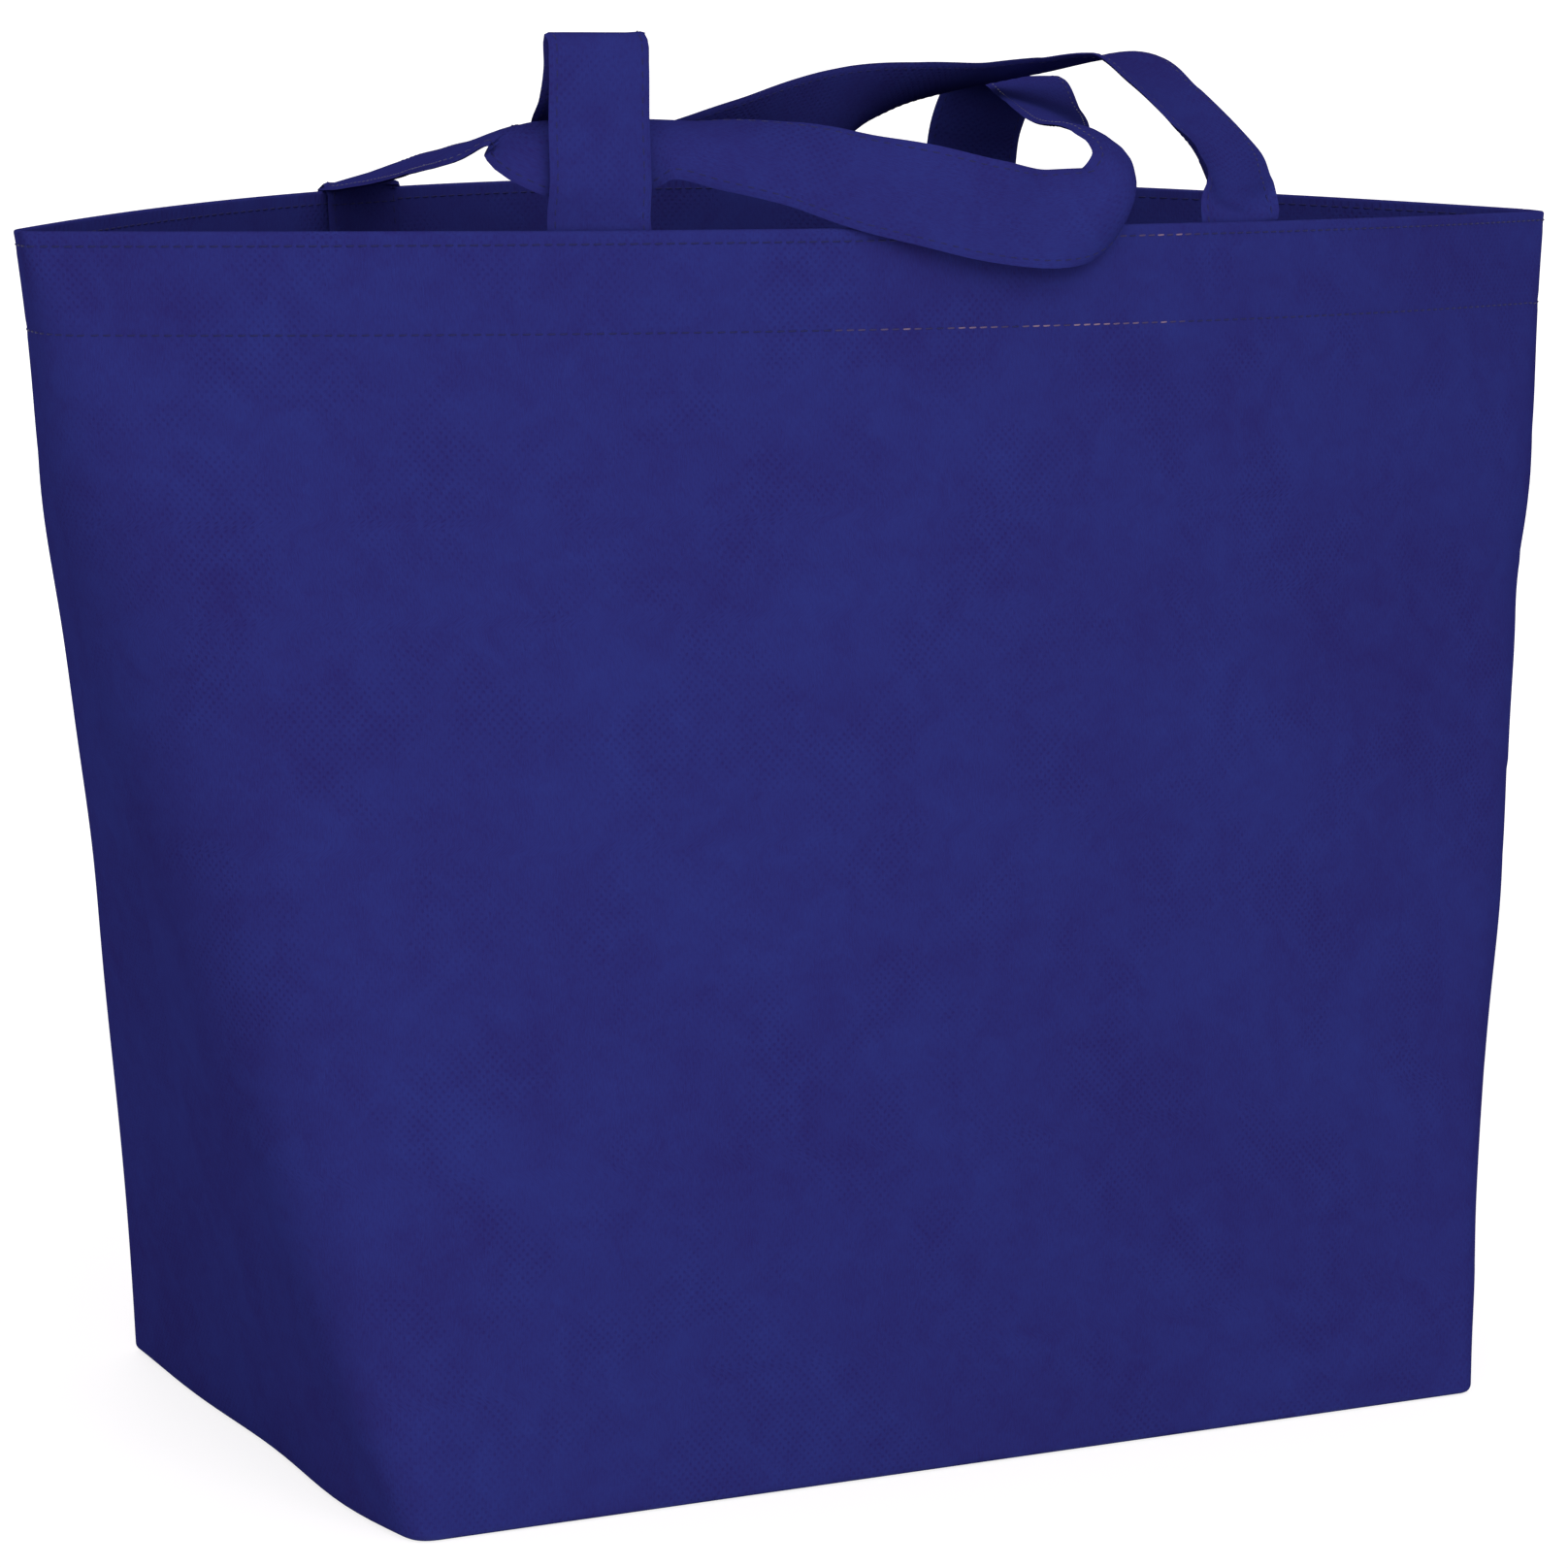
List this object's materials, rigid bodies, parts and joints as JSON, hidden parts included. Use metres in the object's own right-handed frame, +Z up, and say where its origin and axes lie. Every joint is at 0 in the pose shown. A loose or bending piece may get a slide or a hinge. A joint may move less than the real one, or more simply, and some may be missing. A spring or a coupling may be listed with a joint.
{
  "type": "shopping tote bag",
  "caption": "Open-topped non-woven cloth shopping tote with a boxed flat base, a folded hem and slack strap handles sewn inside the mouth.",
  "frame": {"origin": "middle of the rectangular base, on the floor it stands on", "axes": "+X across the width of the bag, +Y from the front panel to the back panel, +Z up"},
  "size_m": [0.4342, 0.2071, 0.361],
  "materials": {
    "bag_cloth": "matt embossed non-woven cloth",
    "front_strap_cloth": "matt embossed non-woven cloth",
    "back_strap_cloth": "matt embossed non-woven cloth"
  },
  "bodies": {
    "root": {"bag_body": "bag_cloth", "front_handle": "front_strap_cloth", "back_handle": "back_strap_cloth"}
  },
  "joints": []
}
